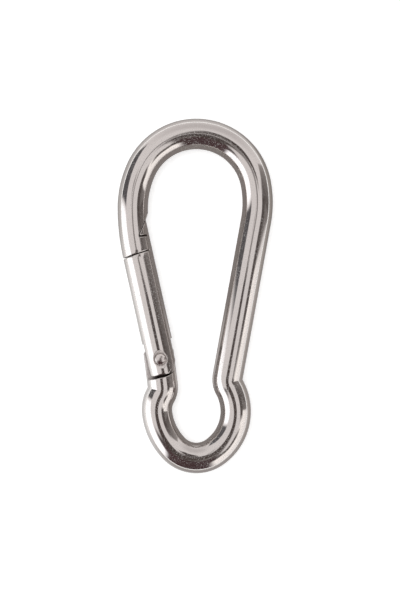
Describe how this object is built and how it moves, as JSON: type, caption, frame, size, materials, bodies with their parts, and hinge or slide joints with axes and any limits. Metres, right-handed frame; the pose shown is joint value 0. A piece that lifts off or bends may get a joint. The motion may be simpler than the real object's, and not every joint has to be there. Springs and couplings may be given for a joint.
{
  "type": "spring snap hook",
  "caption": "Pear-shaped spring snap hook in round stainless bar, with a large bow, a small eye and a spring gate that opens inward on a rivet.",
  "frame": {"origin": "centre of the eye's bottom bend, in the bar's middle plane; the hook lies flat", "axes": "+X towards the closed back, +Y up the hook from the eye to the bow, +Z out of the hook's plane"},
  "size_m": [0.0613, 0.1399, 0.012],
  "materials": {
    "polished_bar": "polished stainless steel",
    "polished_gate": "polished stainless steel",
    "rivet_steel": "peened stainless steel",
    "spring_wire": "drawn spring wire",
    "turned_steel": "turned stainless steel"
  },
  "bodies": {
    "hook": {"hook_body": "polished_bar"},
    "gate": {"gate": "polished_gate", "hinge_rivet": "rivet_steel", "return_spring": "spring_wire"},
    "plunger": {"spring_plunger": "turned_steel"}
  },
  "joints": [
    {"name": "gate_hinge", "type": "hinge", "parent": "hook", "child": "gate", "pos_m": [-0.01404, 0.02691, 0], "axis": [0, 0, -1], "range_deg": [0, 36], "stiffness_Nm_per_rad": 0.0772, "springref_deg": -22.29},
    {"name": "plunger_slide", "type": "slide", "parent": "gate", "child": "plunger", "axis": [-0.2151, 0.9766, 0], "range_m": [0, 0.0013], "deforming": ["return_spring"]}
  ],
  "couplings": [
    {"joint": "plunger_slide", "follows": "gate_hinge", "m_per_rad": 0.002}
  ]
}
